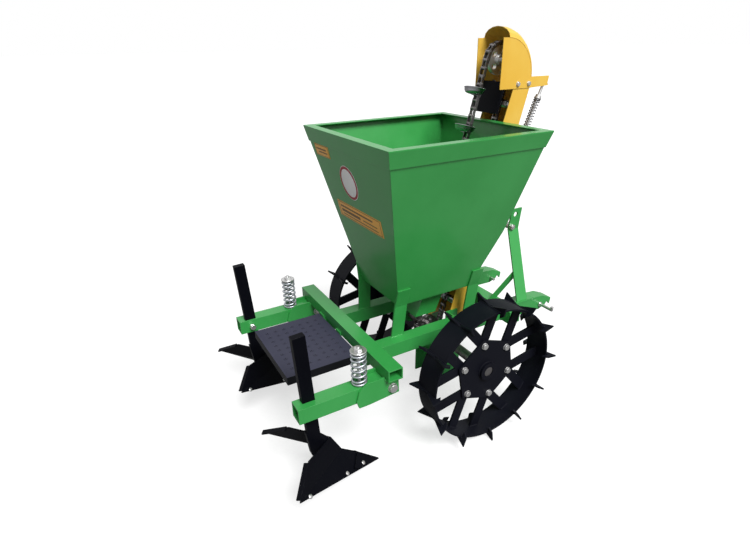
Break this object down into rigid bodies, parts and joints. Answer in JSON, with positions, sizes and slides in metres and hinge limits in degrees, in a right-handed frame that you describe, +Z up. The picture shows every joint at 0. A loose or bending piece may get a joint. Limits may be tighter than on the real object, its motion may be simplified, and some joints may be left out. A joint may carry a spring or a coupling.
{
  "type": "potato planter",
  "caption": "Mounted single-row planter with a tapered hopper, a leaning cup-chain elevator, spiked steel drive wheels, a sprung pair of ridging ploughs and a three-point hitch.",
  "frame": {"origin": "centre of the bounding box's footprint, on the ground under the wheel lugs", "axes": "+Z up from the ground, +Y forward to the tractor, +X to the machine's right seen from behind"},
  "size_m": [0.88, 1.198, 1.2948],
  "materials": {
    "green_paint": "semi-gloss enamel",
    "yellow_paint": "semi-gloss enamel",
    "black_paint": "satin enamel",
    "badge_print": "printed film",
    "worn_steel": "thin black paint over plate",
    "zinc_plate": "zinc plated",
    "spring_steel": "zinc plated wire",
    "chain_steel": "oiled",
    "cup_steel": "pressed plate"
  },
  "bodies": {
    "frame": {"arm_spring_left": "spring_steel", "arm_spring_right": "spring_steel", "axle_bearings": "green_paint", "crossbar": "green_paint", "footboard": "black_paint", "footboard_brackets": "green_paint", "furrow_opener": "green_paint", "head_board": "black_paint", "head_shaft": "zinc_plate", "hitch_bracket_left": "green_paint", "hitch_bracket_right": "green_paint", "hitch_lock_pins": "zinc_plate", "hood": "yellow_paint", "hood_bolts": "zinc_plate", "hopper_badges": "badge_print", "hopper_floor": "green_paint", "hopper_legs": "green_paint", "hopper_panel_front": "green_paint", "hopper_panel_left": "green_paint", "hopper_panel_rear": "green_paint", "hopper_panel_right": "green_paint", "hopper_rim": "green_paint", "mast_bar_left": "green_paint", "mast_bar_right": "green_paint", "mast_braces": "green_paint", "mast_spacer": "zinc_plate", "pivot_bolts": "zinc_plate", "pivot_plates_left": "green_paint", "pivot_plates_right": "green_paint", "rail_left": "green_paint", "rail_right": "green_paint", "rear_beam": "green_paint", "seed_chain": "chain_steel", "seed_cups": "cup_steel", "seed_tube": "yellow_paint", "spring_bolts": "zinc_plate", "tensioner_rods": "zinc_plate", "tensioner_springs": "spring_steel"},
    "wheel_set": {"axle": "chain_steel", "drive_wheel": "chain_steel", "wheel_bolts": "zinc_plate", "wheel_hubs": "black_paint", "wheel_lugs_left": "black_paint", "wheel_lugs_right": "black_paint", "wheel_rim_left": "black_paint", "wheel_rim_right": "black_paint", "wheel_spokes": "black_paint"},
    "head_wheel": {"head_wheel": "chain_steel"},
    "arm_right": {"arm_right": "green_paint", "clamp_bolt_right": "zinc_plate"},
    "ridger_right": {"ridger_bolts_right": "zinc_plate", "shank_right": "black_paint", "share_right": "worn_steel", "wings_right": "worn_steel"},
    "arm_left": {"arm_left": "green_paint", "clamp_bolt_left": "zinc_plate"},
    "ridger_left": {"ridger_bolts_left": "zinc_plate", "shank_left": "black_paint", "share_left": "worn_steel", "wings_left": "worn_steel"}
  },
  "joints": [
    {"name": "wheel_spin", "type": "hinge", "parent": "frame", "child": "wheel_set", "pos_m": [0, 0.1165, 0.262], "axis": [1, 0, 0], "continuous": true},
    {"name": "head_spin", "type": "hinge", "parent": "frame", "child": "head_wheel", "pos_m": [0, 0.3765, 1.194], "axis": [1, 0, 0], "continuous": true},
    {"name": "arm_right_lift", "type": "hinge", "parent": "frame", "child": "arm_right", "pos_m": [0.286, -0.2325, 0.309], "axis": [-1, 0, 0], "range_deg": [0, 6], "stiffness_Nm_per_rad": 180, "springref_deg": -5.73, "deforming": ["arm_spring_right"]},
    {"name": "ridger_right_height", "type": "slide", "parent": "arm_right", "child": "ridger_right", "axis": [0, -0.0489, 0.9988], "range_m": [-0.1, 0.05]},
    {"name": "arm_left_lift", "type": "hinge", "parent": "frame", "child": "arm_left", "pos_m": [-0.286, -0.2325, 0.309], "axis": [-1, 0, 0], "range_deg": [0, 6], "stiffness_Nm_per_rad": 180, "springref_deg": -5.73, "deforming": ["arm_spring_left"]},
    {"name": "ridger_left_height", "type": "slide", "parent": "arm_left", "child": "ridger_left", "axis": [0, -0.0489, 0.9988], "range_m": [-0.1, 0.05]}
  ],
  "couplings": [
    {"joint": "head_spin", "follows": "wheel_spin", "ratio": 1}
  ]
}
